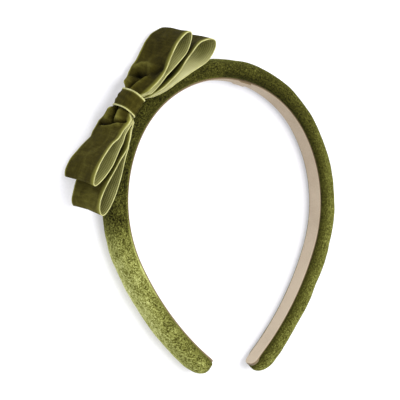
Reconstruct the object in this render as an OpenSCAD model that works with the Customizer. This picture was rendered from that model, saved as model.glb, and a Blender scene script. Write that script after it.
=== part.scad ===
// Padded velvet headband with a double-loop bow, lying flat on its back edge.
// X runs ear to ear, +Y points from the open ends to the crown, +Z is up.
// The origin is the centre of the footprint, on the surface that it lies on.

/* [Band curve, lining side] */
// Radius of the crown arc
crown_r = 55.7; // [45:0.1:70]
// Half angle that the crown arc covers
crown_half_angle = 60.8; // [40:0.1:80]
// Radius of each side arc
side_r = 67.7; // [55:0.1:90]
// Angle that each side arc covers
side_angle = 53; // [30:0.5:70]
// Radius of each leg arc
leg_r = 148.4; // [100:0.1:220]
// Length of the leg arc on the bow side, up to the tip's end
leg_run_bow = 66.5; // [40:0.5:90]
// Length of the leg arc on the plain side, up to the tip's end
leg_run_plain = 71.5; // [40:0.5:90]

/* [Band section] */
// Width of the padded band, front edge to back edge
band_w = 14.7; // [10:0.1:40]
// Thickness of the band from the lining face to the outside
band_t = 9.6; // [5:0.1:16]
// Height of the domed outer part of the padding
dome_h = 5.6; // [3:0.1:8]
// Squareness of the dome: 2 is an ellipse
dome_power = 2.3; // [2:0.1:4]
// Radius of the two corners beside the lining
inner_corner_r = 2.2; // [1:0.1:4]
// Thickness of the velvet cover
velvet_t = 0.9; // [0.5:0.1:1.5]
// Width of the channel left between the velvet's turned-in edges
turn_in_gap = 3.8; // [2:0.1:8]

/* [Springy core] */
// Width of the plastic strip
core_w = 10.2; // [6:0.1:30]
// Thickness of the plastic strip
core_t = 1.8; // [1:0.1:3]
// Width of the tape that holds the foam to the strip
tape_w = 8; // [4:0.5:20]
// Thickness of that tape
tape_t = 0.2; // [0.1:0.05:0.5]

/* [Lining] */
// Width of the lining ribbon
lining_w = 9.8; // [6:0.1:20]
// Thickness of the lining ribbon
lining_t = 0.6; // [0.3:0.1:1]
// Distance past the crown where the short length of lining starts
join_at = 13; // [5:0.5:30]
// Distance past the crown where the long length's lapped end stops
lap_end_at = 18.5; // [8:0.5:35]

/* [Bow] */
// Angle of the bow's centre from the crown
bow_angle = 51.5; // [0:0.5:60]
// Height of the bow's centre above the band's middle plane
bow_rise = 7.5; // [0:0.1:10]
// Tilt of the bow's width, front edge towards the head opening
bow_tilt = 9.4; // [0:0.1:20]
// Skew of the bow's width, back edge towards the crown
bow_skew = 8; // [0:0.5:15]
// Width of the bow's velvet ribbon
ribbon_w = 26; // [15:0.5:40]
// Thickness of the bow's velvet ribbon
ribbon_t = 0.9; // [0.5:0.1:1.5]
// Width of the ribbon where it is drawn in at the centre
waist_w = 8.6; // [8:0.1:26]
// Distance from the centre where the ribbon reaches its full width
full_width_at = 22; // [10:1:35]
// Width of the wrap around the bow's centre, measured along the bow
wrap_run = 10; // [5:0.1:15]
// Thickness of the wrap ribbon
wrap_t = 1; // [0.5:0.1:1.5]
// Diameter of the binding thread under the wrap
thread_d = 0.35; // [0.2:0.05:0.6]
// Number of turns of the binding thread
thread_turns = 5; // [2:1:8]
// Size of the felt pad under the bow, along the bow and across the band
pad_size = [8, 9];

/* [Hidden] */
$fn = 48;

velvet_green = [0.36, 0.37, 0.16];
ribbon_green = [0.27, 0.27, 0.12];
lining_beige = [0.72, 0.66, 0.57];
core_white = [0.88, 0.88, 0.85];
foam_cream = [0.90, 0.87, 0.76];
glue_clear = [0.85, 0.80, 0.66];

// Layers through the band, measured outward from the lining face.
cover_n = lining_t;
core_n = cover_n + velvet_t;
tape_n = core_n + core_t;
foam_n = tape_n + tape_t;
foam_top_n = band_t - velvet_t;
foam_w = band_w - 2 * velvet_t;
band_z = band_w / 2;

// ---------- the band's curve ----------

// Centres of the arcs: each next centre lies on the line through the last joint.
function polar(r, a) = [r * cos(a), r * sin(a)];
side_start = 90 - crown_half_angle;
leg_start = side_start - side_angle;
crown_c = [0, -crown_r];
side_c = crown_c + polar(crown_r - side_r, side_start);
leg_c = side_c + polar(side_r - leg_r, leg_start);
crown_run = crown_r * crown_half_angle * PI / 180;
side_run = side_r * side_angle * PI / 180;
run_bow = crown_run + side_run + leg_run_bow;
run_plain = crown_run + side_run + leg_run_plain;

// Direction of the outward normal, for a distance s from the crown to the plain side.
function turn(s, r) = s / r * 180 / PI;
function heading(s) = s < 0 ? 180 - heading(-s)
  : s < crown_run ? 90 - turn(s, crown_r)
  : s < crown_run + side_run ? side_start - turn(s - crown_run, side_r)
  : leg_start - turn(s - crown_run - side_run, leg_r);

// Point on the band at distance s, n outward from the lining face and z up from the middle.
function mirror_x(p) = [-p[0], p[1]];
function curve_point(s, n) = s < 0 ? mirror_x(curve_point(-s, n))
  : s < crown_run ? crown_c + polar(crown_r + n, heading(s))
  : s < crown_run + side_run ? side_c + polar(side_r + n, heading(s))
  : leg_c + polar(leg_r + n, heading(s));
function band_point(s, n, z) = let (p = curve_point(s, n)) [p[0], p[1], band_z + z];

// How far along a rounded tip a strip of width w has narrowed, 0 at the end to 1.
function tip_share(s, w, from, to) = let (d = min(s - from, to - s), r = w / 2)
  d >= r ? 1 : sqrt(max(0.0004, 1 - (1 - d / r) * (1 - d / r)));

// Stations along the band: even steps, with closer ones around both rounded tips.
step = 6;
tip_angles = [0, 14, 28, 42, 56, 72, 90];
function stations(from, to, w, round_from, round_to) = let (
    a = round_from ? from + w / 2 : from,
    b = round_to ? to - w / 2 : to,
    count = ceil((b - a) / step)
  ) concat(
    round_from ? [for (t = tip_angles) if (t < 90) from + w / 2 * (1 - cos(t))] : [],
    [for (i = [0 : count]) a + (b - a) * i / count],
    round_to ? [for (i = [1 : len(tip_angles) - 1])
      to - w / 2 * (1 - cos(tip_angles[len(tip_angles) - 1 - i]))] : []
  );

// ---------- sections, as [n, z] points in order around the edge ----------

function mirrored(half) = concat(half, [for (i = [len(half) - 1 : -1 : 0])
  if (half[i][1] > 0.001) [half[i][0], -half[i][1]]]);

function strip_section(n0, n1, w, k) = [
  [n0, w / 2 * k], [n1, w / 2 * k], [n1, -w / 2 * k], [n0, -w / 2 * k]
];

// D shape: small corners beside the head, one dome outside. k narrows it at a tip.
tip_thickness = 0.45;
function tip_scale(k) = tip_thickness + (1 - tip_thickness) * k;
corner_angles = [-90, -60, -30, 0];
dome_angles = [0, 12, 25, 38, 51, 64, 77];
function dome_point(n1, w, h, a) =
  [n1 - h + h * pow(sin(a), 2 / dome_power), w / 2 * pow(cos(a), 2 / dome_power)];
function pad_section(n0, n1, w, r, h, k) = let (
    half = concat(
      [for (a = corner_angles) [n0 + r + r * sin(a), w / 2 - r + r * cos(a)]],
      [for (a = dome_angles) dome_point(n1, w, h, a)],
      [[n1, 0]]
    ),
    m = tip_scale(k)
  ) mirrored([for (p = half) [n0 + (p[0] - n0) * m, p[1] * k]]);

// The cover at distance s: the D shape's skin, open between its turned-in edges.
blunt = 0.12;
function outer_share(s) = max(blunt, tip_share(s, band_w, -run_bow, run_plain));
function inner_share(s) = tip_share(s, foam_w, -run_bow + velvet_t, run_plain - velvet_t);
function reversed(v) = [for (i = [len(v) - 1 : -1 : 0]) v[i]];
function cover_section(s) = let (
    slot = turn_in_gap / 2 * inner_share(s)
  ) concat(
    [[cover_n, slot]],
    pad_section(cover_n, band_t, band_w, inner_corner_r, dome_h, outer_share(s)),
    [[cover_n, -slot], [core_n, -slot]],
    reversed(pad_section(core_n, foam_top_n, foam_w, inner_corner_r - velvet_t,
      dome_h - velvet_t, inner_share(s))),
    [[core_n, slot]]
  );

// The foam at distance s: the dome inside the cover, above the tape's level.
foam_play = 0.05;
function foam_section(s) = let (
    k = inner_share(s),
    m = tip_scale(k),
    h = (dome_h - velvet_t) * m,
    top = core_n + (foam_top_n - core_n) * m,
    from = max(foam_n, top - h),
    wide = foam_w / 2 * k - min(foam_play, foam_w / 4 * k)
  ) mirrored(concat(
    [[foam_n, wide * dome_share(foam_n, top, h)]],
    [for (a = [6, 20, 32, 42, 52, 61, 70, 80]) let (n = from + (top - foam_play - from) * sin(a))
      [n, wide * dome_share(n, top, h)]],
    [[top - foam_play, 0]]
  ));
function dome_share(n, top, h) = n <= top - h ? 1
  : pow(1 - pow((n - top + h) / h, dome_power), 1 / dome_power);

// ---------- solids swept through rings of points ----------

function flat(rings) = [for (r = rings, p = r) p];

module tube(rings) {
  m = len(rings[0]);
  last = (len(rings) - 1) * m;
  polyhedron(
    points = flat(rings),
    faces = concat(
      [[for (j = [m - 1 : -1 : 0]) j]],
      [for (i = [0 : len(rings) - 2], j = [0 : m - 1])
        [i * m + j, i * m + (j + 1) % m, (i + 1) * m + (j + 1) % m, (i + 1) * m + j]],
      [[for (j = [0 : m - 1]) last + j]]
    )
  );
}

module closed_tube(rings) {
  m = len(rings[0]);
  count = len(rings);
  polyhedron(
    points = flat(rings),
    faces = [for (i = [0 : count - 1], j = [0 : m - 1]) let (k = (i + 1) % count)
      [i * m + j, k * m + j, k * m + (j + 1) % m, i * m + (j + 1) % m]]
  );
}

function placed(s, section) = [for (p = section) band_point(s, p[0], p[1])];

// A flat strip along the band, from s0 to s1, with the chosen ends rounded.
module strip_along(s0, s1, n0, n1, w, round_from = true, round_to = true) {
  tube([for (s = stations(s0, s1, w, round_from, round_to))
    placed(s, strip_section(n0, n1, w,
      tip_share(s, w, round_from ? s0 : -1000, round_to ? s1 : 1000)))]);
}

module on_table() {
  translate([-origin_x, -origin_y, 0])
    children();
}

// ---------- the bow's own frame: X along it, Y outward, Z across the ribbon ----------

bow_at = crown_c + polar(crown_r + band_t, 90 + bow_angle);

module at_bow() {
  translate([bow_at[0], bow_at[1], band_z + bow_rise])
    rotate([0, 0, bow_angle])
      rotate([bow_tilt, 0, 0])
        children();
}

// Layers through the bow's centre, measured outward from the band's surface.
wrap_n = 0.4;
under_inner_n = wrap_n + wrap_t + thread_d + 0.95;
under_outer_n = under_inner_n + 1.4;
top_inner_n = under_outer_n + 2;
top_outer_n = top_inner_n + 1.5;
wrap_top_n = top_outer_n + ribbon_t / 2 + 0.3 + thread_d + wrap_t;
wrap_half = waist_w / 2 + 0.8 + thread_d + wrap_t;
wrap_corner_r = 2.6;
// How far the wrap sits off the bow's centre: along the bow and across it.
wrap_shift = [1.1, -0.5];

// Centre lines of the two ribbon rings: [along the bow, outward from the band].
top_points = [
  [0, top_outer_n], [9, 7.4], [20, 5.8], [28, 6.7], [36, 8], [42, 6.9],
  [44.6, 4.9], [42, 2.9], [35, 2], [27, 3.2], [19, 4.7], [9, 6],
  [0, top_inner_n], [-9, 6.2], [-18, 5.5], [-26, 4.2], [-34, 4], [-39.5, 4.6],
  [-42.6, 6], [-40, 7.9], [-34, 9], [-26, 8.2], [-18, 7.4], [-9, 7.5]
];
under_points = [
  [0, under_outer_n], [9, 3.5], [18, 1.4], [27, -0.9], [36, -1.5], [44, -3],
  [49.5, -6], [50.6, -9], [47.5, -11], [41.5, -11.2], [35, -8.3], [27, -4.6], [18, -0.9],
  [9, 2.1], [0, under_inner_n], [-8, 2.5], [-15, 1.7], [-21, 0.2], [-27, -1.8],
  [-33, -3.9], [-39, -5.8], [-45, -6.8], [-49.5, -6.9], [-51, -5.4], [-48.6, -2.8],
  [-42, -0.6], [-33, 0.6], [-23, 1.4], [-16, 3], [-8, 3.8]
];

// A smooth closed curve through the points, four short straights between neighbours.
spline_steps = 4;
function closed_spline(p) = let (n = len(p)) [
  for (i = [0 : n - 1], k = [0 : spline_steps - 1])
    spline_at(p[(i + n - 1) % n], p[i], p[(i + 1) % n], p[(i + 2) % n], k / spline_steps)
];
function spline_at(a, b, c, d, t) = 0.5 * (2 * b + (c - a) * t
  + (2 * a - 5 * b + 4 * c - d) * t * t + (3 * b - a - 3 * c + d) * t * t * t);
top_path = closed_spline(top_points);
under_path = closed_spline(under_points);

// The same curve moved sideways by d.
function unit(v) = v / norm(v);
function beside(p, d) = let (n = len(p)) [
  for (i = [0 : n - 1])
    let (t = unit(p[(i + 1) % n] - p[(i + n - 1) % n])) p[i] + d * [-t[1], t[0]]
];

// Half the ribbon's width along the bow: drawn in at the centre, full width beyond.
function ribbon_half(x) = let (
    f = min(1, max(0, (abs(x) - wrap_run / 2) / (full_width_at - wrap_run / 2)))
  ) waist_w / 2 + (ribbon_w - waist_w) / 2 * (1 - cos(180 * f)) / 2;

// The footprint's box, worked out from the outlines that reach furthest.
function bow_point(p, w) = bow_at + (p[0] - w * tan(bow_skew)) * polar(1, bow_angle)
  + (p[1] * cos(bow_tilt) - w * sin(bow_tilt)) * polar(1, 90 + bow_angle);
loop_world = [
  for (p = concat(beside(top_path, ribbon_t / 2), beside(under_path, ribbon_t / 2)), w = [-1, 1])
    bow_point(p, w * ribbon_w / 2)
];
cover_stations = stations(-run_bow, run_plain, band_w, true, true);
cover_rings = [for (s = cover_stations) placed(s, cover_section(s))];
cover_world = flat(cover_rings);
reach_left = min([for (p = loop_world) p[0]]);
reach_right = max([for (p = cover_world) p[0]]);
reach_back = max([for (p = loop_world) p[1]]);
reach_front = min([for (p = cover_world) p[1]]);
origin_x = (reach_left + reach_right) / 2;
origin_y = (reach_back + reach_front) / 2;

// ---------- band pieces ----------

module core_band() {
  inset = 2.6;
  color(core_white)
    on_table()
      strip_along(-run_bow + inset, run_plain - inset, core_n, tape_n, core_w);
}

module foam_tape() {
  inset = 5;
  color(glue_clear)
    on_table()
      strip_along(-run_bow + inset, run_plain - inset, tape_n, foam_n, tape_w);
}

module foam_pad() {
  from = -run_bow + velvet_t;
  to = run_plain - velvet_t;
  between = [for (s = cover_stations) if (s > from + 0.2 && s < to - 0.2) s];
  color(foam_cream)
    on_table()
      tube([for (s = concat([from], between, [to])) placed(s, foam_section(s))]);
}

module velvet_cover() {
  color(velvet_green)
    on_table()
      tube(cover_rings);
}

module lining_glue() {
  inset = 5.1;
  color(glue_clear)
    on_table()
      strip_along(-run_bow + inset, run_plain - inset, cover_n, core_n, turn_in_gap);
}

lining_inset = 3;

module lining_long() {
  color(lining_beige)
    on_table() {
      strip_along(-run_bow + lining_inset, join_at - 0.2, 0, lining_t, lining_w, true, false);
      strip_along(join_at - 3, lap_end_at, -lining_t, 0.02, lining_w, false, false);
    }
}

module lining_short() {
  color(lining_beige)
    on_table()
      strip_along(join_at, run_plain - lining_inset, 0.03, lining_t, lining_w, false, true);
}

// ---------- bow pieces ----------

// A closed ring of ribbon: four corners at each station along its centre line.
module ribbon_ring(path) {
  outer = beside(path, ribbon_t / 2);
  inner = beside(path, -ribbon_t / 2);
  closed_tube([for (i = [0 : len(path) - 1]) let (
      h = ribbon_half(path[i][0]),
      lean = h * tan(bow_skew)
    ) [
      [outer[i][0] + lean, outer[i][1], -h], [outer[i][0] - lean, outer[i][1], h],
      [inner[i][0] - lean, inner[i][1], h], [inner[i][0] + lean, inner[i][1], -h]
    ]]);
}

module bow_top_ribbon() {
  color(ribbon_green)
    on_table()
      at_bow()
        ribbon_ring(top_path);
}

module bow_under_ribbon() {
  color(ribbon_green)
    on_table()
      at_bow()
        ribbon_ring(under_path);
}

module rounded_box_section(y0, y1, half, r) {
  translate([y0 + r, -half])
    square([y1 - y0 - 2 * r, 2 * half]);
  translate([y0, -half + r])
    square([y1 - y0, 2 * (half - r)]);
  for (y = [y0 + r, y1 - r], side = [-1, 1])
    translate([y, side * (half - r)])
      circle(r = r);
}

// A ring of thickness t around the bow's waist, set in from the wrap by gap.
module waist_ring(run, t, gap) {
  deep = gap + t;
  translate([wrap_shift[0], 0, wrap_shift[1]])
    rotate([0, -bow_skew, 0])
      rotate([90, 0, 90])
        linear_extrude(height = run, center = true)
          difference() {
            rounded_box_section(wrap_n + gap, wrap_top_n - gap, wrap_half - gap, wrap_corner_r - gap);
            rounded_box_section(wrap_n + deep, wrap_top_n - deep, wrap_half - deep, wrap_corner_r - deep);
          }
}

module bow_centre_wrap() {
  color(ribbon_green)
    on_table()
      at_bow()
        waist_ring(wrap_run, wrap_t, 0);
}

// The turns touch side by side, so they are one coil; each is drawn as a ring.
module bow_binding_thread() {
  color(velvet_green)
    on_table()
      at_bow()
        for (i = [0 : thread_turns - 1])
          translate([(i - (thread_turns - 1) / 2) * thread_d * 0.9, 0, 0])
            waist_ring(thread_d, thread_d, wrap_t);
}

// Felt pad between the band's dome, which it touches along its middle, and the wrap.
module bow_base_pad() {
  pad_n = -0.95;
  clear = 0.02;
  front_edge = -0.9;
  color(velvet_green)
    on_table()
      at_bow()
        translate([-pad_size[0] / 2, pad_n, front_edge - pad_size[1]])
          cube([pad_size[0], wrap_n - clear - pad_n, pad_size[1]]);
}

core_band();
foam_tape();
foam_pad();
velvet_cover();
lining_glue();
lining_long();
lining_short();
bow_base_pad();
bow_under_ribbon();
bow_top_ribbon();
bow_binding_thread();
bow_centre_wrap();
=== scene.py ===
import math

import bmesh
import bpy
import numpy as np
from mathutils import Matrix, Vector


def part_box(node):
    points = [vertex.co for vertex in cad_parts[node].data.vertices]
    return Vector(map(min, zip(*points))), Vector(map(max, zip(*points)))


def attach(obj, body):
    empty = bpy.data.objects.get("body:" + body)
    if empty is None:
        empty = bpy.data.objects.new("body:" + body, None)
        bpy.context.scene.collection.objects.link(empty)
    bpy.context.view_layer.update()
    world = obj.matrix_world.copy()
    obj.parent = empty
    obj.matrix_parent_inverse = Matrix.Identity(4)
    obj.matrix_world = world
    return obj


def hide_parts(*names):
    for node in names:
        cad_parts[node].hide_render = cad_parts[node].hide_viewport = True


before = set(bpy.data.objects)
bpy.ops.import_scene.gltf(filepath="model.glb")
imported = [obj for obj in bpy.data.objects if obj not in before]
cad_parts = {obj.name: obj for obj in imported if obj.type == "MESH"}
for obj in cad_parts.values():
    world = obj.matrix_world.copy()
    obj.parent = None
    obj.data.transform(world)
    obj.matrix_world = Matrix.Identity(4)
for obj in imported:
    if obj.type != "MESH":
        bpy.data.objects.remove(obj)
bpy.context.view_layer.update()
MM = 0.001

# ---------- the band's curve, as part.scad draws it, in millimetres ----------

CROWN_R, CROWN_HALF = 55.7, 60.8
SIDE_R, SIDE_ANGLE = 67.7, 53.0
LEG_R, LEG_BOW, LEG_PLAIN = 148.4, 66.5, 71.5
BAND_W, BAND_T, DOME_H, DOME_POWER = 14.7, 9.6, 5.6, 2.3
BOW_ANGLE, BOW_RISE, BOW_TILT, BOW_SKEW = 51.5, 7.5, 9.4, 8.0
RIBBON_W, WRAP_RUN = 26.0, 10.0

# ---------- what the visual pieces add to it ----------

# The lining: its width, thickness, width where its tips start to round, how far it
# stands proud of the cover, and where its two lengths overlap.
LINING_W, LINING_T, LINING_TIP, LINING_PROUD = 9.4, 0.6, 7.6, 0.85
JOIN_AT, LAP_END = 13.0, 18.5

# The cover: the middle of its D section, its back face, and how much the tips are cut
# short, rounded and thinned.
SECTION_MIDDLE, COVER_BACK = 4.0, 0.6
TIP_CUT, TIP_ROUND, TIP_THICKNESS = 1.0, 19.0, 0.36
FOAM_GAP, FOAM_LEVEL = 0.75, 3.5


def polar(r, degrees):
    a = np.radians(degrees)
    return np.array([r * np.cos(a), r * np.sin(a)])


SIDE_START = 90 - CROWN_HALF
LEG_START = SIDE_START - SIDE_ANGLE
CROWN_C = np.array([0.0, -CROWN_R])
SIDE_C = CROWN_C + polar(CROWN_R - SIDE_R, SIDE_START)
LEG_C = SIDE_C + polar(SIDE_R - LEG_R, LEG_START)
CROWN_RUN = CROWN_R * math.radians(CROWN_HALF)
SIDE_RUN = SIDE_R * math.radians(SIDE_ANGLE)
RUN_BOW = CROWN_RUN + SIDE_RUN + LEG_BOW
RUN_PLAIN = CROWN_RUN + SIDE_RUN + LEG_PLAIN


def cad_origin():
    """Where the curve's own origin lies in the row frame, from the cover's box."""
    low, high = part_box("velvet_cover")
    reach_x = SIDE_C[0] + SIDE_R + BAND_T
    return np.array([high.x / MM - reach_x, high.y / MM - BAND_T, (low.z + high.z) / 2 / MM])


ORIGIN = cad_origin()


def band_frame(s):
    """Points of the lining face's middle line and the outward directions, at distances s."""
    s = np.asarray(s, float)
    a = np.abs(s)
    in_crown, in_side = a < CROWN_RUN, a < CROWN_RUN + SIDE_RUN
    angle = np.where(
        in_crown, 90 - np.degrees(a / CROWN_R),
        np.where(in_side, SIDE_START - np.degrees((a - CROWN_RUN) / SIDE_R),
                 LEG_START - np.degrees((a - CROWN_RUN - SIDE_RUN) / LEG_R)))
    radius = np.where(in_crown, CROWN_R, np.where(in_side, SIDE_R, LEG_R))
    cx = np.where(in_crown, CROWN_C[0], np.where(in_side, SIDE_C[0], LEG_C[0]))
    cy = np.where(in_crown, CROWN_C[1], np.where(in_side, SIDE_C[1], LEG_C[1]))
    out = polar(1.0, angle)
    mirror = np.where(s < 0, -1.0, 1.0)
    x = (cx + radius * out[0]) * mirror
    y = cy + radius * out[1]
    return np.stack([x, y], -1), np.stack([out[0] * mirror, out[1]], -1)


def band_points(s, n, z):
    """Row frame points, in millimetres, at distance s, n outward and z up from the middle."""
    base, out = band_frame(s)
    xy = base + out * np.asarray(n)[..., None]
    zz = np.broadcast_to(z, xy.shape[:-1])
    return np.concatenate([xy, zz[..., None]], -1) + ORIGIN


def tip_share(s, w, start, end):
    """How wide a rounded strip is at s, as a share of its width w."""
    d = np.clip(np.minimum(s - start, end - s) / (w / 2), 0, 1)
    return np.sqrt(np.maximum(0.0004, 1 - (1 - d) ** 2))


def band_stations(start, end, w, step, tip_steps=16):
    """Distances along the band, closer together round both tips."""
    t = np.linspace(0, math.pi / 2, tip_steps, endpoint=False)
    tip = w / 2 * (1 - np.cos(t))
    a, b = start + w / 2, end - w / 2
    middle = np.linspace(a, b, int((b - a) / step) + 1)
    return np.concatenate([start + tip, middle, end - tip[::-1]])


# ---------- mesh helpers ----------

def smooth_noise(points, size, seed):
    """Soft seeded noise from -1 to 1: a few sine waves in different directions."""
    rng = np.random.default_rng(seed)
    total = np.zeros(points.shape[:-1])
    for _ in range(14):
        direction = rng.normal(size=points.shape[-1])
        direction /= np.linalg.norm(direction)
        wave = rng.uniform(0.6, 1.5) * 2 * math.pi / size
        total += np.sin(points @ direction * wave + rng.uniform(0, 2 * math.pi))
    return total / 4.2


def grid_faces(rows, cols, wrap_rows, wrap_cols):
    """Quads of a grid of points, in the order that faces outward."""
    quads = []
    for i in range(rows if wrap_rows else rows - 1):
        k = (i + 1) % rows
        for j in range(cols if wrap_cols else cols - 1):
            m = (j + 1) % cols
            quads.append((i * cols + j, k * cols + j, k * cols + m, i * cols + m))
    return quads


def new_piece(name, points, faces, material_ids=None, attributes=None):
    """A smooth shaded mesh from points in millimetres."""
    mesh = bpy.data.meshes.new(name)
    mesh.from_pydata((np.asarray(points).reshape(-1, 3) * MM).tolist(), [], faces)
    for key, values in (attributes or {}).items():
        layer = mesh.attributes.new(key, "FLOAT", "POINT")
        layer.data.foreach_set("value", np.asarray(values, np.float32).ravel())
    mesh.polygons.foreach_set("use_smooth", [True] * len(mesh.polygons))
    if material_ids is not None:
        mesh.polygons.foreach_set("material_index", material_ids)
    mesh.update()
    piece = bpy.data.objects.new(name, mesh)
    bpy.context.scene.collection.objects.link(piece)
    return piece


def face_outward(piece):
    """Flips a closed mesh if its faces point inward."""
    bm = bmesh.new()
    bm.from_mesh(piece.data)
    if bm.calc_volume(signed=True) < 0:
        bmesh.ops.reverse_faces(bm, faces=bm.faces)
    bm.to_mesh(piece.data)
    bm.free()


def swept(name, rings, attributes, closed=False):
    """A tube through rings of points, with capped ends unless it is closed."""
    count, around = rings.shape[:2]
    faces = grid_faces(count, around, closed, True)
    if not closed:
        faces.append(tuple(range(around)))
        faces.append(tuple((count - 1) * around + j for j in reversed(range(around))))
    piece = new_piece(name, rings, faces, None, attributes)
    face_outward(piece)
    return piece


# ---------- node material helpers ----------

class Nodes:
    """Short calls to build one material's node tree."""

    def __init__(self, name):
        self.material = bpy.data.materials.new(name)
        self.material.use_nodes = True
        self.tree = self.material.node_tree
        self.tree.nodes.clear()
        self.out = self.tree.nodes.new("ShaderNodeOutputMaterial")
        self.shader = self.tree.nodes.new("ShaderNodeBsdfPrincipled")
        self.link(self.shader.outputs["BSDF"], self.out.inputs["Surface"])

    def link(self, a, b):
        self.tree.links.new(a, b)

    def feed(self, socket, value):
        if isinstance(value, bpy.types.NodeSocket):
            self.link(value, socket)
        else:
            socket.default_value = value

    def attribute(self, name):
        node = self.tree.nodes.new("ShaderNodeAttribute")
        node.attribute_name = name
        return node.outputs["Fac"]

    def position(self):
        return self.tree.nodes.new("ShaderNodeTexCoord").outputs["Object"]

    def combine(self, x, y, z):
        node = self.tree.nodes.new("ShaderNodeCombineXYZ")
        for socket, value in zip(node.inputs, (x, y, z)):
            self.feed(socket, value)
        return node.outputs[0]

    def scaled(self, vector, factors):
        node = self.tree.nodes.new("ShaderNodeVectorMath")
        node.operation = "MULTIPLY"
        self.feed(node.inputs[0], vector)
        node.inputs[1].default_value = factors
        return node.outputs[0]

    def shifted(self, vector, other):
        node = self.tree.nodes.new("ShaderNodeVectorMath")
        node.operation = "ADD"
        self.feed(node.inputs[0], vector)
        self.feed(node.inputs[1], other)
        return node.outputs[0]

    def math(self, operation, a, b=0.0, clamp=False):
        node = self.tree.nodes.new("ShaderNodeMath")
        node.operation = operation
        node.use_clamp = clamp
        self.feed(node.inputs[0], a)
        self.feed(node.inputs[1], b)
        return node.outputs[0]

    def noise(self, vector, scale, detail=3.0, rough=0.55, distortion=0.0, colour=False):
        node = self.tree.nodes.new("ShaderNodeTexNoise")
        self.feed(node.inputs["Vector"], vector)
        node.inputs["Scale"].default_value = scale
        node.inputs["Detail"].default_value = detail
        node.inputs["Roughness"].default_value = rough
        node.inputs["Distortion"].default_value = distortion
        return node.outputs["Color" if colour else "Fac"]

    def wave(self, vector, scale, direction="X", distortion=0.0, detail=2.0, detail_scale=1.0):
        node = self.tree.nodes.new("ShaderNodeTexWave")
        node.bands_direction = direction
        self.feed(node.inputs["Vector"], vector)
        node.inputs["Scale"].default_value = scale
        node.inputs["Distortion"].default_value = distortion
        node.inputs["Detail"].default_value = detail
        node.inputs["Detail Scale"].default_value = detail_scale
        return node.outputs["Fac"]

    def ridge(self, value, sharpness):
        """1 along the middle values of a noise, which are thin winding lines, and 0 beside."""
        away = self.math("ABSOLUTE", self.math("SUBTRACT", value, 0.5))
        return self.math("SUBTRACT", 1.0, self.math("MULTIPLY", away, sharpness), clamp=True)

    def ramp(self, value, stops, interpolation="LINEAR"):
        """stops: (position, (r, g, b) or a grey number)."""
        node = self.tree.nodes.new("ShaderNodeValToRGB")
        node.color_ramp.interpolation = interpolation
        elements = node.color_ramp.elements
        while len(elements) < len(stops):
            elements.new(0.5)
        for element, (at, colour) in zip(elements, stops):
            element.position = at
            rgb = (colour, colour, colour) if isinstance(colour, (int, float)) else colour
            element.color = (*rgb, 1)
        self.feed(node.inputs["Fac"], value)
        return node.outputs["Color"]

    def mix(self, share, a, b, blend="MIX"):
        node = self.tree.nodes.new("ShaderNodeMix")
        node.data_type = "RGBA"
        node.blend_type = blend
        for key, value in (("Factor", share), ("A", a), ("B", b)):
            if isinstance(value, tuple) and len(value) == 3:
                value = (*value, 1)
            self.feed(node.inputs[key], value)
        return node.outputs["Result"]

    def bump(self, height, distance_mm, strength=1.0, below=None):
        node = self.tree.nodes.new("ShaderNodeBump")
        node.inputs["Strength"].default_value = strength
        node.inputs["Distance"].default_value = distance_mm * MM
        self.feed(node.inputs["Height"], height)
        if below is not None:
            self.link(below, node.inputs["Normal"])
        return node.outputs["Normal"]

    def finish(self, colour, normal=None, roughness=0.8, **constants):
        base = (*colour, 1) if isinstance(colour, tuple) else colour
        self.feed(self.shader.inputs["Base Color"], base)
        self.feed(self.shader.inputs["Roughness"], roughness)
        if normal is not None:
            self.link(normal, self.shader.inputs["Normal"])
        for key, value in constants.items():
            self.shader.inputs[key.replace("_", " ")].default_value = value
        return self.material


def srgb(r, g, b):
    """Linear colour from 0-255 display numbers."""
    shares = [c / 255 for c in (r, g, b)]
    return tuple(((c + 0.055) / 1.055) ** 2.4 if c > 10 / 255 else c / 12.92 for c in shares)


# ---------- materials ----------

# The pile's colour from shaded to fully lit.
VELVET_TONES = [
    (0.06, srgb(18, 17, 2)), (0.24, srgb(60, 59, 19)), (0.40, srgb(100, 101, 46)),
    (0.55, srgb(139, 142, 78)), (0.71, srgb(180, 183, 118)), (0.90, srgb(216, 219, 164))]
RIBBON_TONES = [
    (0.02, srgb(12, 10, 1)), (0.15, srgb(34, 30, 5)), (0.26, srgb(57, 52, 15)),
    (0.40, srgb(90, 86, 36)), (0.60, srgb(142, 139, 72))]


def band_velvet():
    """Crushed velvet: grains and curled strands of lit pile over pressed patches."""
    m = Nodes("band_velvet")
    cloth = m.combine(m.attribute("along_mm"), m.attribute("across_mm"), 0.0)
    swirl = m.noise(cloth, 0.3, 2.0, 0.5, colour=True)
    bent = m.shifted(cloth, m.scaled(swirl, (4.0, 4.0, 0.0)))
    patches = m.noise(bent, 0.12, 3.0, 0.6)
    curls = m.ridge(m.noise(m.scaled(bent, (0.75, 1.0, 1.0)), 0.7, 1.0, 0.5, 1.4), 7.5)
    grain = m.noise(cloth, 1.2, 2.0, 0.6, 0.5)
    # The starting tone is painted light and shade on the pile, including painted highlights on the
    # rims and the bow's painted shadow.
    tone = m.attribute("nap_and_painted_light")
    rough = m.attribute("crushed")
    fine = m.math("ADD", 0.75, m.math("MULTIPLY", rough, 0.25))
    for part, mean, amount, share in ((grain, 0.5, 0.68, fine), (patches, 0.5, 0.36, rough),
                                      (curls, 0.32, 0.29, rough)):
        away = m.math("MULTIPLY", m.math("SUBTRACT", part, mean), amount)
        tone = m.math("ADD", tone, m.math("MULTIPLY", away, share))
    colour = m.ramp(tone, VELVET_TONES)
    height = m.math("ADD", grain, m.math("MULTIPLY", curls, 0.4))
    normal = m.bump(height, 0.28, 0.75, m.bump(patches, 1.0, 0.3))
    return m.finish(colour, normal, 0.85, Sheen_Weight=0.32, Sheen_Roughness=0.28,
                    Sheen_Tint=(0.62, 0.66, 0.10, 1), Specular_IOR_Level=0.04)


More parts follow.
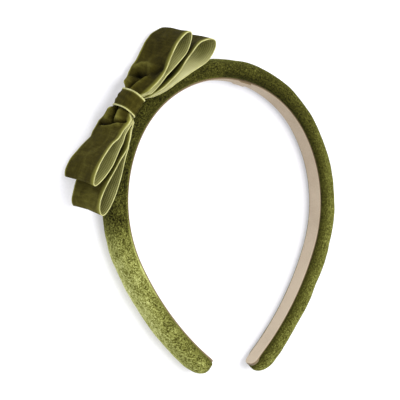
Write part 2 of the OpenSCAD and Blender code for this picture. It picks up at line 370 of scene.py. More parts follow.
def ribbon_velvet():
    """Short smooth pile, paler where it thins out towards the woven edges."""
    m = Nodes("ribbon_velvet")
    edge, fold_shade_and_tone = m.attribute("edge_mm"), m.attribute("fold_shade_and_tone")
    cloth = m.combine(m.attribute("along_mm"), m.attribute("across_mm"), 0.0)
    streaks = m.noise(m.scaled(cloth, (1.0, 0.10, 1.0)), 0.8, 3.0, 0.6)
    patches = m.noise(cloth, 0.10, 3.0, 0.6, 1.5)
    grain = m.noise(cloth, 2.4, 2.0, 0.7)
    # The fold values paint shade into the creases and a highlight onto the puffs.
    tone = m.math("ADD", 0.232, m.math("MULTIPLY", fold_shade_and_tone, 0.095))
    for part, amount in ((streaks, 0.16), (patches, 0.28), (grain, 0.16)):
        tone = m.math("ADD", tone, m.math("MULTIPLY", m.math("SUBTRACT", part, 0.5), amount))
    deep = m.ramp(tone, RIBBON_TONES)
    ragged = m.math("ADD", edge, m.math("MULTIPLY", m.math("SUBTRACT", grain, 0.5), 0.9))
    thin = m.ramp(m.math("DIVIDE", ragged, 5.0), [(0.02, 0.95), (0.2, 0.42), (0.65, 0.0)])
    colour = m.mix(thin, deep, srgb(144, 142, 66))
    normal = m.bump(m.math("ADD", grain, m.math("MULTIPLY", streaks, 0.5)), 0.25, 0.7)
    return m.finish(colour, normal, 0.82, Sheen_Weight=0.05, Sheen_Roughness=0.3,
                    Sheen_Tint=(0.72, 0.68, 0.10, 1), Specular_IOR_Level=0.03)


def ribbon_reverse():
    """The pale ribbed ground weave inside the loops."""
    m = Nodes("ribbon_reverse")
    cloth = m.combine(m.attribute("along_mm"), m.attribute("across_mm"), 0.0)
    ribs = m.wave(cloth, 0.20, "Y", 0.8, 1.0, 2.0)
    warp = m.wave(cloth, 0.40, "X", 0.3, 1.0, 2.0)
    tone = m.math("MULTIPLY", m.noise(cloth, 0.15, 3.0, 0.6), 0.3)
    # The stored tone along the loop is painted shade, darker towards the loops' ends.
    tone = m.math("ADD", tone, m.math("MULTIPLY", m.attribute("nap_and_painted_light"), 0.7))
    base = m.ramp(tone, [(0.15, srgb(94, 91, 42)), (0.45, srgb(142, 140, 80)),
                         (0.8, srgb(210, 208, 156)), (1.0, srgb(232, 230, 190))])
    rib_share = m.math("ADD", m.math("MULTIPLY", ribs, 0.36), m.math("MULTIPLY", warp, 0.12))
    colour = m.mix(rib_share, m.mix(0.12, base, srgb(40, 38, 8)), srgb(220, 218, 150))
    height = m.math("ADD", ribs, m.math("MULTIPLY", warp, 0.5))
    return m.finish(colour, m.bump(height, 0.15, 0.8), 0.7, Specular_IOR_Level=0.08)


def ribbon_edge():
    """The woven selvage: pale, tight, slightly shiny threads."""
    m = Nodes("ribbon_edge")
    cloth = m.combine(m.attribute("along_mm"), m.attribute("across_mm"), 0.0)
    threads = m.wave(cloth, 0.5, "X", 0.6, 2.0, 2.0)
    tone = m.noise(cloth, 0.25, 3.0, 0.6)
    colour = m.mix(m.math("MULTIPLY", threads, 0.5),
                   m.ramp(tone, [(0.35, srgb(134, 131, 68)), (0.65, srgb(176, 174, 110))]),
                   srgb(204, 202, 150))
    return m.finish(colour, m.bump(threads, 0.1, 0.7), 0.55, Sheen_Weight=0.1,
                    Sheen_Roughness=0.4, Specular_IOR_Level=0.25)


def lining_cloth():
    """Beige suede-like lining with a fine pile, darker towards the crown with painted shade."""
    m = Nodes("lining_cloth")
    along, across, edge = m.attribute("along_mm"), m.attribute("across_mm"), m.attribute("edge_mm")
    cloth = m.combine(along, across, 0.0)
    nap_and_painted_light = m.noise(cloth, 1.6, 4.0, 0.7)
    weave = m.wave(cloth, 0.75, "Y", 1.0, 2.0, 2.0)
    worn = m.noise(cloth, 0.06, 3.0, 0.6)
    tone = m.math("ADD", m.math("MULTIPLY", nap_and_painted_light, 0.7), m.math("MULTIPLY", worn, 0.4))
    # The stored value darkens the lining towards the crown: painted shade.
    base = m.ramp(m.math("ADD", tone, m.attribute("nap_and_painted_light")),
                  [(0.35, srgb(157, 141, 119)), (0.7, srgb(190, 175, 153))])
    # A dark brown line along the lining's edges: partly the cut edge's own colour, partly painted
    # shade where the lining meets the velvet.
    rim = m.ramp(m.math("DIVIDE", edge, 0.14), [(0.0, 1.0), (1.0, 0.0)], "EASE")
    colour = m.mix(m.math("MULTIPLY", rim, 0.85), base, srgb(90, 72, 44))
    height = m.math("ADD", nap_and_painted_light, m.math("MULTIPLY", weave, 0.25))
    return m.finish(colour, m.bump(height, 0.12, 0.8), 0.85, Sheen_Weight=0.08,
                    Sheen_Roughness=0.5, Specular_IOR_Level=0.2)


def plain_inside(name, low, high, size, roughness, bump_mm, **more):
    """A hidden piece's material: two tones of noise with a matching bump."""
    m = Nodes(name)
    grain = m.noise(m.position(), 1000 / size, 4.0, 0.6)
    return m.finish(m.ramp(grain, [(0.35, low), (0.65, high)]), m.bump(grain, bump_mm, 0.7),
                    roughness, **more)


# ---------- the band ----------

def d_section(points_around):
    """The cover's outline as (n, z) and the distance round it, evenly spaced."""
    corner = np.radians(np.linspace(-90, 0, 12))
    dome = np.radians(np.linspace(2, 90, 40))
    half = [(0.5, z) for z in np.linspace(0, 4.55, 8)]
    half += [(0.42, 4.75), (0.22, 4.92)]
    half += [(2.85 + 2.8 * math.sin(a), 4.95 + (BAND_W / 2 - 4.95) * math.cos(a)) for a in corner]
    half += [(BAND_T - DOME_H + DOME_H * math.sin(a) ** (2 / DOME_POWER),
              BAND_W / 2 * max(0.0, math.cos(a)) ** (2 / DOME_POWER)) for a in dome]
    half = np.array(half)
    other = half[::-1][1:-1] * [1, -1]
    loop = np.concatenate([half, other, half[:1]])
    length = np.concatenate([[0], np.cumsum(np.linalg.norm(np.diff(loop, axis=0), axis=1))])
    at = np.linspace(0, length[-1], points_around, endpoint=False)
    outline = np.stack([np.interp(at, length, loop[:, 0]), np.interp(at, length, loop[:, 1])], -1)
    return outline, at


# Painted light and shade along the band, lighter where the pile catches the light: distance along
# the band, lightness. The low stretch round the bow is the bow's painted shadow.
LIGHT_AND_SHADE_ALONG = [(-190, 0.37), (-160, 0.45), (-128, 0.50), (-112, 0.44), (-98, 0.21), (-82, 0.15),
             (-30, 0.19), (0, 0.21), (30, 0.205), (72, 0.315), (100, 0.385), (140, 0.385),
             (190, 0.39)]


def nap_and_painted_light(s, n, z):
    """Painted light and shade on the pile along the band and round it, with painted highlights
    along the rims on the bow side.
    """
    along = np.interp(s, *zip(*LIGHT_AND_SHADE_ALONG))
    angle = np.degrees(np.arctan2(z, n - SECTION_MIDDLE))
    # Round the section these tables paint light and shade: how light each side looks on the right
    # leg, the left leg, and the left leg's lower end.
    shaded = np.interp(angle, [-180, -120, -60, -20, 20, 60, 80, 100, 120, 140],
                       [0.6, 0.75, 1.05, 1.25, 1.08, 0.92, 0.84, 0.70, 0.52, 0.45])
    lit = np.interp(angle, [-180, -120, -60, -20, 20, 60, 80, 105, 120, 140],
                    [0.6, 0.75, 1.3, 1.35, 1.06, 0.95, 0.86, 0.84, 1.1, 1.1])
    low_leg_shading = np.interp(angle, [-180, -120, -60, -20, 20, 60, 80, 105, 120, 140],
                        [0.6, 0.75, 1.25, 1.3, 1.15, 0.93, 0.76, 0.7, 0.75, 0.8])
    low_leg = np.clip((-s - 125) / 25, 0, 1)
    around = np.where(s < 0, lit + (low_leg_shading - lit) * low_leg, shaded)
    # Painted highlights along the outer and inner rims of the bow side's leg.
    outer_highlight = 0.28 * np.exp(-((angle + 45) / 8) ** 2) * np.clip((-s - 40) / 40, 0, 1)
    inner_highlight = 0.17 * np.exp(-((angle - 112) / 4.5) ** 2) * np.clip((-s - 40) / 40, 0, 1)
    return along * around + outer_highlight + inner_highlight * (1 - low_leg)


def crushed(s, n, z):
    """How strongly the pile is crushed: most on the bow side's leg, least by the lining."""
    along = np.interp(s, [-190, -120, -95, -60, 10, 60, 110, 160, 190],
                      [0.95, 0.95, 0.8, 0.5, 0.42, 0.38, 0.42, 0.55, 0.6])
    hem = np.clip((n - 1.2) / 2.4, 0, 1)
    return along * (0.3 + 0.7 * hem)


def tip_lift(s):
    """The tips' ends curve a little away from the floor."""
    left = np.minimum(s + RUN_BOW, RUN_PLAIN - s)
    return 1.1 * np.clip(1 - left / 11, 0, 1) ** 2


def along_band(section, cut, step):
    """The D section carried along the band, smaller towards the tips that lie cut inside."""
    start, end = -RUN_BOW + cut, RUN_PLAIN - cut
    s = band_stations(start, end, TIP_ROUND, step)
    k = tip_share(s, TIP_ROUND, start, end)
    m = TIP_THICKNESS + (1 - TIP_THICKNESS) * k
    n = COVER_BACK + (section[None, :, 0] - COVER_BACK) * m[:, None]
    z = section[None, :, 1] * k[:, None] + tip_lift(s)[:, None]
    return np.broadcast_to(s[:, None], n.shape), n, z, k


def build_foam():
    """The soft foam, following the cover's rounded tips just below the velvet."""
    section, around = d_section(56)
    middle = np.array([SECTION_MIDDLE, 0.0])
    away = section - middle
    section = middle + away * (1 - FOAM_GAP / np.linalg.norm(away, axis=1))[:, None]
    ss, n, z, _ = along_band(section, TIP_CUT + FOAM_GAP, 1.6)
    n = np.maximum(n, FOAM_LEVEL)
    foam = swept("foam_padding", band_points(ss, n, z), {
        "along_mm": ss, "across_mm": np.broadcast_to(around, n.shape)})
    foam.data.materials.append(plain_inside("foam", srgb(216, 206, 176), srgb(238, 230, 206),
                                            0.5, 0.95, 0.25))
    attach(foam, "root")
    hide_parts("foam_pad")
    return foam


def build_cover():
    section, around = d_section(96)
    ss, n, z, k = along_band(section, TIP_CUT, 0.8)
    place = np.stack([ss, np.broadcast_to(around, n.shape)], -1)
    swell = smooth_noise(place * [1.0, 1.6], 26, 3) * 0.16 + smooth_noise(place, 9, 4) * 0.07
    lift = swell * np.clip(n / 2, 0, 1) * k[:, None]
    radius = np.hypot(n - SECTION_MIDDLE, z) + 1e-6
    n = n + lift * (n - SECTION_MIDDLE) / radius
    z = np.maximum(z + lift * z / radius, -BAND_W / 2)
    rings = band_points(ss, n, z)
    # Each point of the cover stores its painted light and shade for the velvet.
    cover = swept("cover_velvet", rings, {
        "along_mm": ss, "across_mm": place[..., 1],
        "nap_and_painted_light": nap_and_painted_light(ss, n, z), "crushed": crushed(ss, n, z)})
    cover.data.materials.append(band_velvet())
    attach(cover, "root")
    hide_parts("velvet_cover")
    return cover


def lining_rise(s):
    """How far above the band's middle the lining was glued."""
    return np.interp(s, [0, 30, 120, 180], [0.2, -0.15, -0.15, 0.4])


def lining_strip(name, s, n_face, start, end, material):
    """A thin cloth strip along the band: n_face gives its face's height at each station."""
    corner = 0.35
    half = LINING_W / 2
    outline = [(0.0, half - corner), (corner * 0.3, half - corner * 0.3), (corner, half)]
    back = LINING_T + LINING_PROUD
    outline += [(back, half)]
    face = [(0.0, z) for z in np.linspace(0, half - corner, 14, endpoint=False)]
    right = np.array(face + outline + [(back, half * 0.5), (back, 0.0)])
    loop = np.concatenate([right, right[::-1][1:-1] * [1, -1]])
    k = tip_share(s, LINING_TIP, start, end) ** 0.7
    k = k * (1 - 0.2 * np.exp(-((s - JOIN_AT) / 11) ** 2))
    n = loop[None, :, 0] + n_face[:, None]
    z = loop[None, :, 1] * k[:, None] + (tip_lift(s) + lining_rise(s))[:, None]
    ss = np.broadcast_to(s[:, None], n.shape)
    edge = (half - np.abs(loop[None, :, 1])) * k[:, None]
    end_gap = np.minimum(s - start, end - s)[:, None] + 0 * edge
    # The lining stores painted shade, darker towards the crown and lighter towards the tips.
    piece = swept(name, band_points(ss, n, z), {
        "along_mm": ss, "across_mm": z, "edge_mm": np.minimum(edge, np.maximum(end_gap, 0)),
        "nap_and_painted_light": np.interp(np.abs(ss), [60, 150], [-0.06, 0.16])})
    piece.data.materials.append(material)
    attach(piece, "root")
    return piece


def build_linings():
    material = lining_cloth()
    start, far = -RUN_BOW + 2.2, RUN_PLAIN - 0.9
    round_tip = LINING_TIP / 2 * (1 - np.cos(np.linspace(0, math.pi / 2, 14, endpoint=False)))
    first = np.concatenate([start + round_tip, np.arange(start + LINING_TIP / 2, JOIN_AT - 3, 1.0),
                            np.linspace(JOIN_AT - 3, LAP_END, 24)])
    step_up = np.clip((first - (JOIN_AT - 2.4)) / 2.4, 0, 1)
    face = -LINING_PROUD - (LINING_T + 0.04) * (3 * step_up ** 2 - 2 * step_up ** 3)
    long_piece = lining_strip("lining_cloth_long", first, face, start, 900.0, material)
    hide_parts("lining_long")
    second = np.concatenate([np.arange(JOIN_AT, far - LINING_TIP / 2, 1.0), far - round_tip[::-1]])
    low = np.interp(second, [JOIN_AT, 60], [-LINING_PROUD, 0.35 - LINING_PROUD])
    short_piece = lining_strip("lining_cloth_short", second, low, -900.0,
                               far, material)
    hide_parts("lining_short")
    return long_piece, short_piece


# ---------- the bow ----------

TOP_POINTS = [
    (0, 7.6), (9, 7.4), (20, 5.8), (28, 6.7), (36, 8), (42, 6.9), (44.6, 4.9), (42, 2.9),
    (35, 2), (27, 3.2), (19, 4.7), (9, 6), (0, 6.1), (-9, 6.2), (-18, 5.5), (-26, 4.2),
    (-34, 4), (-39.5, 4.6), (-42.6, 6), (-40, 7.9), (-34, 9), (-26, 8.2), (-18, 7.4), (-9, 7.5)]
UNDER_POINTS = [
    (0, 4.1), (9, 3.5), (18, 1.4), (27, -0.9), (36, -1.5), (44, -3), (49.5, -6), (50.6, -9),
    (47.5, -11), (41.5, -11.2), (35, -8.3), (27, -4.6), (18, -0.9), (9, 2.1), (0, 2.7),
    (-8, 2.5), (-15, 1.7), (-21, 0.2), (-27, -1.8), (-33, -3.9), (-39, -5.8), (-45, -6.8),
    (-49.5, -6.9), (-51, -5.4), (-48.6, -2.8), (-42, -0.6), (-33, 0.6), (-23, 1.4),
    (-16, 3), (-8, 3.8)]


def bow_axes():
    a, t = math.radians(BOW_ANGLE), math.radians(BOW_TILT)
    along = np.array([math.cos(a), math.sin(a), 0])
    level = np.array([-math.sin(a), math.cos(a), 0])
    up = np.array([0, 0, 1.0])
    return along, level * math.cos(t) + up * math.sin(t), up * math.cos(t) - level * math.sin(t)


BOW_U, BOW_N, BOW_V = bow_axes()
BOW_AT = np.append(CROWN_C + polar(CROWN_R + BAND_T, 90 + BOW_ANGLE), BOW_RISE) + ORIGIN


def bow_points(u, n, w):
    """Row frame points from the bow's own frame: u along it, n outward, w across it."""
    u, n, w = np.broadcast_arrays(u, n, w)
    lean = w * math.tan(math.radians(BOW_SKEW))
    return (BOW_AT + (u - lean)[..., None] * BOW_U + n[..., None] * BOW_N
            + w[..., None] * BOW_V)


def closed_spline(points, steps):
    """A smooth closed curve through the points."""
    p = np.array(points, float)
    a, b, c, d = np.roll(p, 1, 0), p, np.roll(p, -1, 0), np.roll(p, -2, 0)
    t = np.arange(steps)[:, None, None] / steps
    curve = 0.5 * (2 * b + (c - a) * t + (2 * a - 5 * b + 4 * c - d) * t ** 2
                   + (3 * b - a - 3 * c + d) * t ** 3)
    return curve.transpose(1, 0, 2).reshape(-1, 2)


def evenly(path, count):
    """The closed path with count points at equal spacing, and its length."""
    loop = np.concatenate([path, path[:1]])
    length = np.concatenate([[0], np.cumsum(np.linalg.norm(np.diff(loop, axis=0), axis=1))])
    at = np.linspace(0, length[-1], count, endpoint=False)
    return np.stack([np.interp(at, length, loop[:, i]) for i in (0, 1)], -1), length[-1]


def widths(u):
    """How far the ribbon reaches forward and back: drawn in at the wrap, full width beyond."""
    run = np.abs(u - WRAP_U * np.exp(-(u / 12) ** 2))
    forward = np.interp(run, [0, 4.6, 7, 11, 15, 19], [5.4, 5.6, 7.8, 9.8, 11.9, 13.0])
    upper = np.interp(run, [0, 5, 7.7, 10, 12.3, 15, 19, 28, 33, 38, 42, 45],
                      [5.9, 5.4, 6.2, 8.3, 10.3, 11.8, 12.4, 12.2, 13.0, 12.6, 10.4, 9.8])
    lower = np.interp(run, [0, 5, 7, 9, 11.3, 13.5, 19, 22, 31, 35, 40, 45, 52],
                      [6.0, 5.8, 6.0, 7.4, 9.4, 11.8, 12.9, 12.1, 12.2, 13.0, 13.0, 12.2, 12.0])
    return forward, np.where(u > 0, upper, lower)


def crease(u, w, points, width, soften=1.5):
    """1 on the line through the points, falling to 0 at about twice the width."""
    best = np.full(u.shape, 1e9)
    for (u0, w0), (u1, w1) in zip(points[:-1], points[1:]):
        du, dw = u1 - u0, w1 - w0
        t = np.clip(((u - u0) * du + (w - w0) * dw) / (du * du + dw * dw), 0, 1)
        best = np.minimum(best, np.hypot(u - u0 - t * du, w - w0 - t * dw))
    return np.exp(-(best / width) ** soften)


# Creases and puffs that the drawn-in waist makes in the top ribbon, in millimetres:
# height, width and the line that each follows, along the bow and across it.
TOP_FOLDS = [
    (-2.6, 0.75, [(3, -3.2), (7.5, -3.0), (10.6, -2.4), (13.8, -1.0)]),
    (-3.0, 1.5, [(15.8, -6.6), (15.4, -3.0), (15.9, -0.6)]),
    (-1.5, 1.0, [(15.6, -0.4), (16.9, 1.5)]),
    (1.2, 0.9, [(6, -0.9), (11, 0.7), (15.3, 3.2)]),
    (1.7, 1.6, [(19.2, -9.4), (21.6, -6.6), (22.6, -2.0), (21.6, 1.5)]),
    (-1.2, 2.4, [(19.5, 6.5), (22, 9.0)]),
    (1.9, 1.7, [(7, -6.2), (12, -7.4)]),
    (-2.9, 0.7, [(-3, -3.9), (-7.6, -2.3), (-11.8, -0.8)]),
    (-2.2, 0.7, [(-14.2, -9.6), (-13.8, -4.2), (-12.4, -0.1), (-10.7, 3.7), (-9.2, 6.6)]),
    (1.4, 0.8, [(-15.7, -5.5), (-15.4, -3), (-14.0, 1.5), (-11.9, 5.5)]),
    (1.8, 1.7, [(-6, 1.2), (-9.6, 2.2)]),
    (1.7, 1.7, [(-6, -6.4), (-10.5, -6.2)])]


def folds(u, w):
    """Creases cut to the deepest one at each place, and puffs are added."""
    low, high = np.zeros(u.shape), np.zeros(u.shape)
    for height, width, line in TOP_FOLDS:
        part = height * crease(u, w, line, width)
        low, high = (np.minimum(low, part), high) if height < 0 else (low, high + part)
    return low + high


# How far each edge stands above the ribbon's middle line, along the bow: position,
# then the front and back edge of the outer run, then the front and back of the inner run.
TOP_EDGES = [
    (-45, 0.0, 0.0, 0.0, 0.0), (-36, 0.4, -0.1, -0.4, 0.0), (-30, 1.2, -0.5, -0.5, -0.2),
    (-22, 1.5, -1.4, -0.1, -0.4), (-15, 0.2, -0.3, -0.2, 0.0), (-9, -2.2, 0.7, -2.2, 0.3),
    (-4, -3.1, 0.7, -3.0, 0.3), (5, -3.2, 0.7, -3.1, 0.3), (12, -1.6, 1.0, -2.2, 0.5),
    (20, 0.1, 1.5, -0.3, 0.8), (28, 0.6, 1.4, -0.4, 0.5), (36, 0.4, 0.1, -0.5, 0.0),
    (45, 0.0, 0.0, 0.0, 0.0)]
UNDER_EDGES = [
    (-52, 0.0, 0.0, 0.0, 0.0), (-46, 0.7, 0.0, -0.4, 0.0), (-36, 0.5, 0.0, -0.2, 0.0),
    (-26, 0.0, 0.0, 0.0, 0.0), (-17, -0.8, 0.0, 0.6, 0.0), (-9, -1.6, 0.3, -0.9, 0.2),
    (-4, -1.9, 0.3, -1.0, 0.2), (5, -1.9, 0.3, -1.0, 0.2), (12, -1.5, 0.2, -1.5, 0.1),
    (20, -0.2, 0.0, -0.5, 0.0), (33, 0.5, 0.0, -0.5, 0.0), (45, 0.5, 0.0, -0.5, 0.0),
    (51, 0.0, 0.0, 0.0, 0.0)]


def edge_lifts(path, edges):
    """Front and back edge heights for every point of a ring's path."""
    table = np.array(edges)
    outer = is_outer_run(path)
    columns = [np.interp(path[:, 0], table[:, 0], table[:, i]) for i in (1, 2, 3, 4)]
    front = columns[0] * outer + columns[2] * (1 - outer)
    back = columns[1] * outer + columns[3] * (1 - outer)
    return front[:, None], back[:, None]


def is_outer_run(path):
    """1 on the run that faces away from the band, 0 on the other one, soft between."""
    tangent = np.roll(path, -1, 0) - np.roll(path, 1, 0)
    lean = tangent[:, 0] / np.linalg.norm(tangent, axis=1)
    return np.clip(0.5 + 0.8 * lean, 0, 1)


# How light the weave inside the loops and the pile outside look: position, weave, pile. The weave
# column is painted shade inside the loops, darker towards their ends; the pile column makes the
# pile lighter on the lower loops and darker on the upper ones.
TOP_LIGHTNESS = [(-45, 0.25, 0.36), (-15, 0.6, 0.18), (0, 0.6, 0.0), (12, 0.7, -0.1), (45, 0.3, -0.35)]
UNDER_LIGHTNESS = [(-50, 0.15, 0.9), (-15, 0.6, 0.5), (8, 1.35, 0.0), (24, 1.3, -0.2), (34, 1.0, -0.25),
             (42, 0.6, -0.3), (50, 0.2, -0.3)]

# The ribbon's thickness in millimetres, and the faces across its width.
CLOTH_T, FACES_ACROSS = 0.5, 60

# The wrap's middle and half sizes in the bow's frame, in millimetres.
WRAP_U, WRAP_N, WRAP_W = 1.1, 5.05, -1.35
WRAP_HALF_N, WRAP_HALF_W = 4.65, 6.95


def held_in_wrap(u, n, w):
    """Draws the ribbon in wherever it would come through the wrap round the waist."""
    dn, dw = n - WRAP_N, w - WRAP_W
    reach = ((np.abs(dn) / WRAP_HALF_N) ** 3 + (np.abs(dw) / WRAP_HALF_W) ** 3) ** (1 / 3)
    limit = 0.80 + 0.12 * np.maximum(0, np.abs(u - WRAP_U) - WRAP_RUN / 2 + 0.4) ** 1.3
    share = np.minimum(1, limit / np.maximum(reach, 1e-6))
    return WRAP_N + dn * share, WRAP_W + dw * share


def ribbon_section():
    """One turn round the ribbon's own section: share of its width, offset, and material."""
    v = np.sin(np.linspace(-1, 1, FACES_ACROSS + 1) * math.pi / 2 * 0.9)
    v /= v[-1]
    bead = np.radians(np.array([55, 20, -20, -55]))
    radius = CLOTH_T / 2 * 1.1
    side = np.stack([radius * np.cos(bead), radius * np.sin(bead)], -1)
    share = np.concatenate([v, np.full(4, 1.0), v[::-1], np.full(4, -1.0)])
    beyond = np.concatenate([0 * v, side[:, 0], 0 * v, -side[:, 0]])
    offset = np.concatenate([0 * v + CLOTH_T / 2, side[:, 1], 0 * v - CLOTH_T / 2, -side[:, 1]])
    n = len(v)
    kinds = [0] * (n - 1) + [2] * 5 + [1] * (n - 1) + [2] * 5
    return share, beyond, offset, kinds


def lightness_at(path, lightness_table, column):
    """One of the two brightness columns of a ring's table, at every point of its path."""
    table = np.array(lightness_table)
    return np.interp(path[:, :1], table[:, 0], table[:, column])


def ribbon_ring(name, points, edges, fold_share, lightness_table, tuck, materials):
    """A closed ring of velvet ribbon with a pile face, a woven reverse and two selvages."""
    path, length = evenly(closed_spline(points, 16), 440)
    tangent = np.roll(path, -1, 0) - np.roll(path, 1, 0)
    tangent /= np.linalg.norm(tangent, axis=1)[:, None]
    normal = np.stack([-tangent[:, 1], tangent[:, 0]], -1)
    share, beyond, offset, kinds = ribbon_section()
    forward, back = (x[:, None] for x in widths(path[:, 0]))
    forward = forward * (1 - tuck * np.exp(-((np.abs(path[:, :1]) - 7.5) / 5) ** 2))
    w = share * np.where(share > 0, forward, back) + beyond
    near_end = np.clip((np.abs(path[:, :1]) - 28) / 14, 0, 1)
    back_corner = np.clip(-share, 0, 1)
    longer = np.where(path[:, :1] < 0, -0.9 - 1.2 * back_corner, 0.7 - 0.5 * back_corner ** 3)
    u = path[:, :1] + normal[:, :1] * offset + near_end * longer
    n = path[:, 1:] + normal[:, 1:] * offset
    front_lift, back_lift = edge_lifts(path, edges)
    n = n + front_lift * np.clip(share, 0, 1) ** 2.2 + back_lift * np.clip(-share, 0, 1) ** 2.2
    crumple = folds(path[:, :1] + 0 * w, w)
    n = n + crumple * fold_share(path)[:, None]
    ripple = smooth_noise(np.stack([np.broadcast_to(path[:, :1], w.shape), w], -1), 14, 8)
    n = n + 0.16 * ripple * np.clip(np.abs(path[:, :1]) / 15, 0, 1)
    n, w = held_in_wrap(u, n, w)
    rows, cols = w.shape
    # The creases and puffs are painted into the colour too, on the outer run: painted shade in the
    # creases, painted highlight on the puffs, plus the pile column's lightness.
    piece = new_piece(name, bow_points(u, n, w), grid_faces(rows, cols, True, True), kinds * rows, {
        "along_mm": np.linspace(0, length, rows, endpoint=False)[:, None] + 0 * w,
        "across_mm": share * RIBBON_W / 2 + 0 * w,
        "edge_mm": RIBBON_W / 2 * (1 - np.abs(share)) * np.where(share > 0, 1, 2.5) + 0 * w,
        "fold_shade_and_tone": crumple * is_outer_run(path)[:, None] + lightness_at(path, lightness_table, 2) + 0 * w,
        "nap_and_painted_light": lightness_at(path, lightness_table, 1) + 0 * w})
    face_outward(piece)
    for material in materials:
        piece.data.materials.append(material)
    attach(piece, "root")
    return piece, length


def build_bow():
    materials = [ribbon_velvet(), ribbon_reverse(), ribbon_edge()]
    top, top_length = ribbon_ring("bow_ribbon_top", TOP_POINTS, TOP_EDGES,
                                  lambda path: 0.8 + 0.2 * is_outer_run(path),
                                  TOP_LIGHTNESS, 0.0, materials)
    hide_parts("bow_top_ribbon")
    under, under_length = ribbon_ring("bow_ribbon_under", UNDER_POINTS, UNDER_EDGES,
                                      lambda path: 0.3 + 0.3 * is_outer_run(path),
                                      UNDER_LIGHTNESS, 0.2, materials)
    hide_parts("bow_under_ribbon")
    build_wrap(materials)


def build_wrap(materials):
    """The short ribbon round the waist: a soft barrel with rolled selvages."""
    around, run = 128, 29
    theta = np.linspace(0, 2 * math.pi, around, endpoint=False)
    power = 3.0
    c, s = np.cos(theta), np.sin(theta)
    round_w = np.sign(c) * np.abs(c) ** (2 / power)
    round_n = np.sign(s) * np.abs(s) ** (2 / power)
    t = np.linspace(-1, 1, run)
    u_out = t * WRAP_RUN / 2
    barrel = 0.35 * (1 - t ** 2) - 0.25
    roll = 0.38 * np.exp(-((1 - np.abs(t)) / 0.14) ** 2)
    u_in = u_out[::-1] * 0.94
    u = np.concatenate([u_out, u_in])
    lift = np.concatenate([barrel + roll, barrel[::-1] - 0.9])
    uu, th = np.meshgrid(u, theta, indexing="ij")
    off = np.broadcast_to(lift[:, None], uu.shape)
    pleat = 0.16 * np.sin(uu * 1.9 + 1.4 * np.sin(th * 2 + 0.6)) * np.exp(-(uu / 4) ** 2)
    scale_n = WRAP_HALF_N + off + pleat
    scale_w = WRAP_HALF_W + off + pleat
    n = WRAP_N + round_n[None, :] * scale_n
    w = WRAP_W + round_w[None, :] * scale_w
    slant = uu / (WRAP_RUN / 2)
    w = w + (0.6 * np.clip(-slant, 0, 1) - 0.4 * (1 - slant ** 2)) * np.clip(-round_w, 0, 1)
    rows = len(u)
    faces = grid_faces(rows, around, True, True)
    ids = []
    for i in range(rows):
        for _ in range(around):
            first = i < 2 or run - 3 <= i < run + 1
            ids.append(2 if first or i == rows - 1 else (0 if i < run else 1))
    outline = np.stack([round_w * WRAP_HALF_W, round_n * WRAP_HALF_N], -1)
    step = np.linalg.norm(np.diff(outline, axis=0), axis=1)
    along = np.concatenate([[0], np.cumsum(step)])
    flat = np.concatenate([t, t[::-1]])[:, None] * RIBBON_W / 4 + 0 * uu
    # The wrap's pleats are painted into its colour too: painted shade in their hollows, painted
    # highlight on their crests, a little lighter overall.
    piece = new_piece("bow_wrap", bow_points(WRAP_U + uu, n, w), faces, ids, {
        "along_mm": np.broadcast_to(along, uu.shape), "across_mm": flat,
        "edge_mm": 2.2 * (WRAP_RUN / 2 - np.abs(uu)), "fold_shade_and_tone": pleat + 0.12})
    face_outward(piece)
    for material in materials:
        piece.data.materials.append(material)
    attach(piece, "root")
    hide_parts("bow_centre_wrap")
    return piece


# ---------- the pieces kept from the CAD ----------

def dress_cad_nodes():
    kept = {
        "core_band": plain_inside("core_plastic", srgb(214, 214, 206), srgb(226, 226, 220),
                                  1.5, 0.45, 0.03),
        "foam_tape": plain_inside("tape_film", srgb(206, 200, 176), srgb(222, 216, 196),
                                  2.0, 0.3, 0.02),
        "lining_glue": plain_inside("glue", srgb(206, 192, 150), srgb(222, 210, 176),
                                    3.0, 0.35, 0.15),
        "bow_base_pad": plain_inside("felt", srgb(62, 62, 28), srgb(94, 94, 48), 0.4, 0.95, 0.2,
                                     Sheen_Weight=0.3),
        "bow_binding_thread": plain_inside("thread", srgb(70, 70, 30), srgb(110, 108, 56),
                                           0.3, 0.6, 0.05),
    }
    for name, material in kept.items():
        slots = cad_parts[name].data.materials
        slots.clear()
        slots.append(material)


# ---------- floor, light and camera ----------

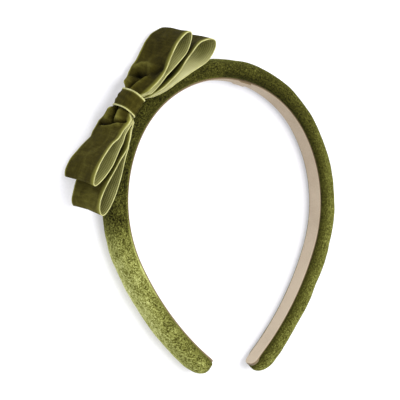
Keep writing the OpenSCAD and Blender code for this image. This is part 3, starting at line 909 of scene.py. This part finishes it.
def build_floor():
    m = Nodes("floor_paper")
    grain = m.noise(m.position(), 900.0, 3.0, 0.6)
    m.finish(m.ramp(grain, [(0.3, (0.56, 0.56, 0.59)), (0.7, (0.59, 0.59, 0.62))]),
             m.bump(grain, 0.02, 0.3), 0.9, Specular_IOR_Level=0.1,
             Emission_Color=(0.97, 0.96, 1, 1), Emission_Strength=0.38)
    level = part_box("velvet_cover")[0].z - 0.0001
    bpy.ops.mesh.primitive_plane_add(size=8.0, location=(0, 0, level))
    floor = bpy.context.object
    floor.name = "floor"
    floor.data.materials.append(m.material)


def area_light(name, location, target, size, watts, colour=(1, 1, 1)):
    data = bpy.data.lights.new(name, "AREA")
    data.shape = "DISK"
    data.size = size
    data.energy = watts
    data.color = colour
    light = bpy.data.objects.new(name, data)
    light.location = location
    light.rotation_euler = (Vector(target) - Vector(location)).to_track_quat("-Z", "Y").to_euler()
    bpy.context.scene.collection.objects.link(light)


def build_light():
    world = bpy.data.worlds.new("studio")
    world.use_nodes = True
    background = world.node_tree.nodes["Background"]
    background.inputs["Color"].default_value = (1, 1, 1, 1)
    background.inputs["Strength"].default_value = 1.0
    bpy.context.scene.world = world
    area_light("key", (0.38, 0.17, 1.56), (0, 0, 0), 1.3, 28)
    bpy.context.scene.view_settings.view_transform = "Standard"


def build_camera():
    back = Vector((-0.52362, 0.04355, 0.85084)).normalized()
    right = Vector((0.84897, -0.05676, 0.52538))
    right = (right - back * right.dot(back)).normalized()
    up = back.cross(right)
    target = Vector((-0.0013, 0.0017, 0.0008))
    data = bpy.data.cameras.new("camera")
    data.lens = 117.0
    data.sensor_width = 36.0
    data.clip_start = 0.01
    camera = bpy.data.objects.new("camera", data)
    rows = Matrix((right, up, back)).transposed().to_4x4()
    rows.translation = target + back * 0.65
    camera.matrix_world = rows
    bpy.context.scene.collection.objects.link(camera)
    bpy.context.scene.camera = camera


build_cover()
build_foam()
build_linings()
build_bow()
dress_cad_nodes()
build_floor()
build_light()
build_camera()
